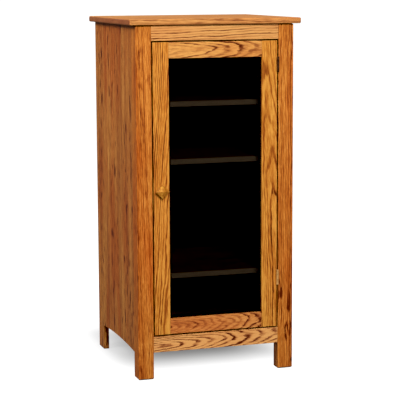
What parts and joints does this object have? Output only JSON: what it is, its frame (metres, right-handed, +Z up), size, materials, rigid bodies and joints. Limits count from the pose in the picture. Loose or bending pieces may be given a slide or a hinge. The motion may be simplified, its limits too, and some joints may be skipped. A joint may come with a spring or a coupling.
{
  "type": "media cabinet",
  "caption": "Tall oak media cabinet on short legs, with a hinged glass door, adjustable shelves and cable holes in the back.",
  "frame": {"origin": "middle of the bounding box at the level of the floor under the feet, with the door closed", "axes": "+Z up, -Y out of the door side, +X towards the hinge side (to the right when facing the door)"},
  "size_m": [0.603, 0.567, 1.219],
  "materials": {
    "oak": "satin varnish over golden brown stain",
    "oak_ply": "thin clear lacquer",
    "glass": "dark smoked, polished",
    "vinyl": "matt black",
    "brass": "aged, satin",
    "steel": "zinc plated",
    "catch_plastic": "brown, moulded"
  },
  "bodies": {
    "case": {"back_panel": "oak_ply", "cabinet_floor": "oak", "catch_body": "catch_plastic", "catch_screw_1": "steel", "catch_screw_2": "steel", "floor_cleat_left": "oak", "floor_cleat_right": "oak", "frame_bottom_rail": "oak", "frame_top_rail": "oak", "front_post_left": "oak", "front_post_right": "oak", "hinge_lower_case_leaf": "brass", "hinge_lower_case_screw_1": "brass", "hinge_lower_case_screw_2": "brass", "hinge_lower_pin": "brass", "hinge_upper_case_leaf": "brass", "hinge_upper_case_screw_1": "brass", "hinge_upper_case_screw_2": "brass", "hinge_upper_pin": "brass", "shelf_lower": "oak", "shelf_middle": "oak", "shelf_pin_lower_back_left": "steel", "shelf_pin_lower_back_right": "steel", "shelf_pin_lower_front_left": "steel", "shelf_pin_lower_front_right": "steel", "shelf_pin_middle_back_left": "steel", "shelf_pin_middle_back_right": "steel", "shelf_pin_middle_front_left": "steel", "shelf_pin_middle_front_right": "steel", "shelf_pin_upper_back_left": "steel", "shelf_pin_upper_back_right": "steel", "shelf_pin_upper_front_left": "steel", "shelf_pin_upper_front_right": "steel", "shelf_upper": "oak", "side_panel_left": "oak", "side_panel_right": "oak", "top_slab": "oak", "top_stretcher_back": "oak", "top_stretcher_front": "oak"},
    "door": {"door_rail_bottom": "oak", "door_rail_top": "oak", "door_stile_hinge_side": "oak", "door_stile_knob_side": "oak", "glass_pane": "glass", "glass_retainer_bottom": "vinyl", "glass_retainer_left": "vinyl", "glass_retainer_right": "vinyl", "glass_retainer_top": "vinyl", "hinge_lower_door_leaf": "brass", "hinge_lower_door_screw_1": "brass", "hinge_lower_door_screw_2": "brass", "hinge_upper_door_leaf": "brass", "hinge_upper_door_screw_1": "brass", "hinge_upper_door_screw_2": "brass", "knob": "oak", "knob_screw": "steel", "strike_plate": "steel", "strike_screw": "steel"}
  },
  "joints": [
    {"name": "door_hinge", "type": "hinge", "parent": "case", "child": "door", "pos_m": [0.22225, -0.261, 0.6935], "axis": [0, 0, 1], "range_deg": [0, 175]}
  ]
}
